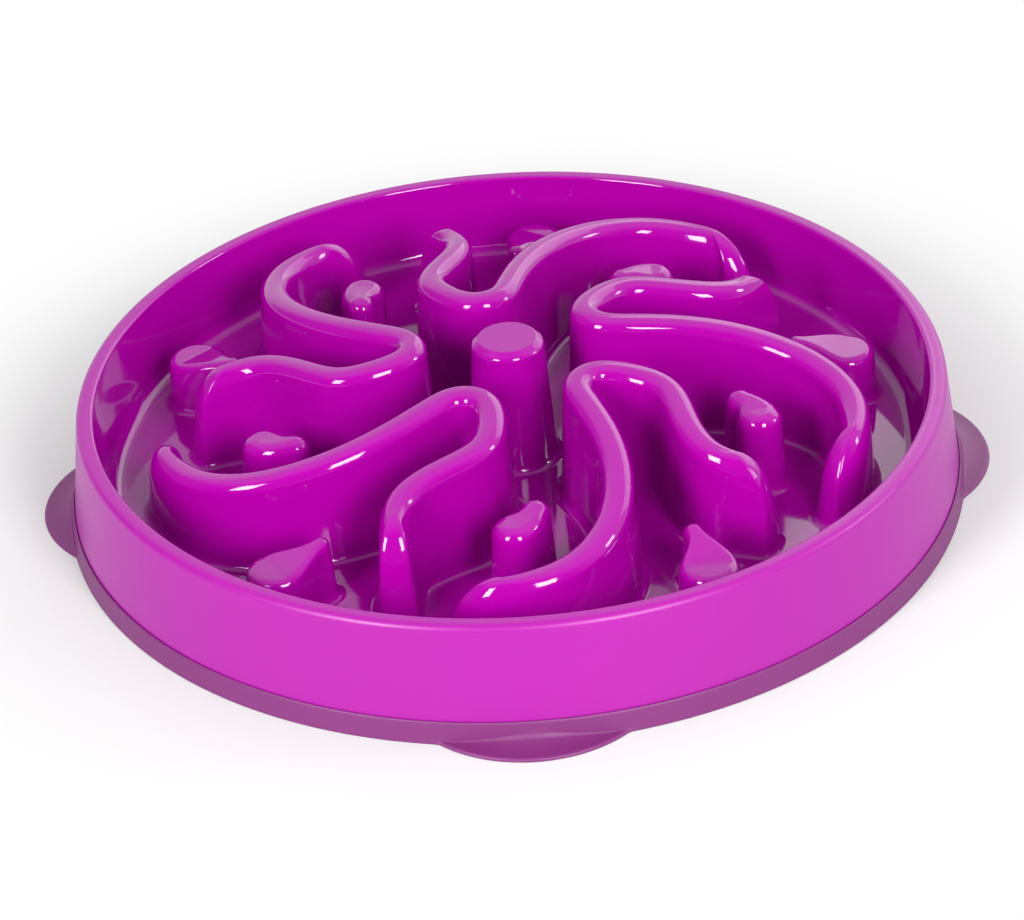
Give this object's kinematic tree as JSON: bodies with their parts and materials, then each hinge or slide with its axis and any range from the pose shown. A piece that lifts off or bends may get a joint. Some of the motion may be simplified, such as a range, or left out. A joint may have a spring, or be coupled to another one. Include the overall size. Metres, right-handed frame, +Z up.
{
  "type": "slow feeder bowl",
  "caption": "Round pet feeding bowl with a maze of swirling ridges and raised drops on its floor, on a soft base ring with flat feet.",
  "frame": {"origin": "middle of the underside, on the table under the centre post", "axes": "+Z up out of the bowl; the four feet point along +X, -X, +Y and -Y, and -Y faces the picture's camera"},
  "size_m": [0.3026, 0.3026, 0.0538],
  "materials": {
    "bowl": "gloss",
    "base_ring": "satin"
  },
  "bodies": {
    "root": {"bowl_wall": "bowl", "bowl_floor": "bowl", "centre_post": "bowl", "base_ring": "base_ring", "ridge_1": "bowl", "ridge_2": "bowl", "ridge_3": "bowl", "ridge_4": "bowl", "ridge_5": "bowl", "seed_1": "bowl", "seed_2": "bowl", "seed_3": "bowl", "seed_4": "bowl", "seed_5": "bowl", "teardrop_1": "bowl", "teardrop_2": "bowl", "teardrop_3": "bowl", "teardrop_4": "bowl", "teardrop_5": "bowl"}
  },
  "joints": []
}
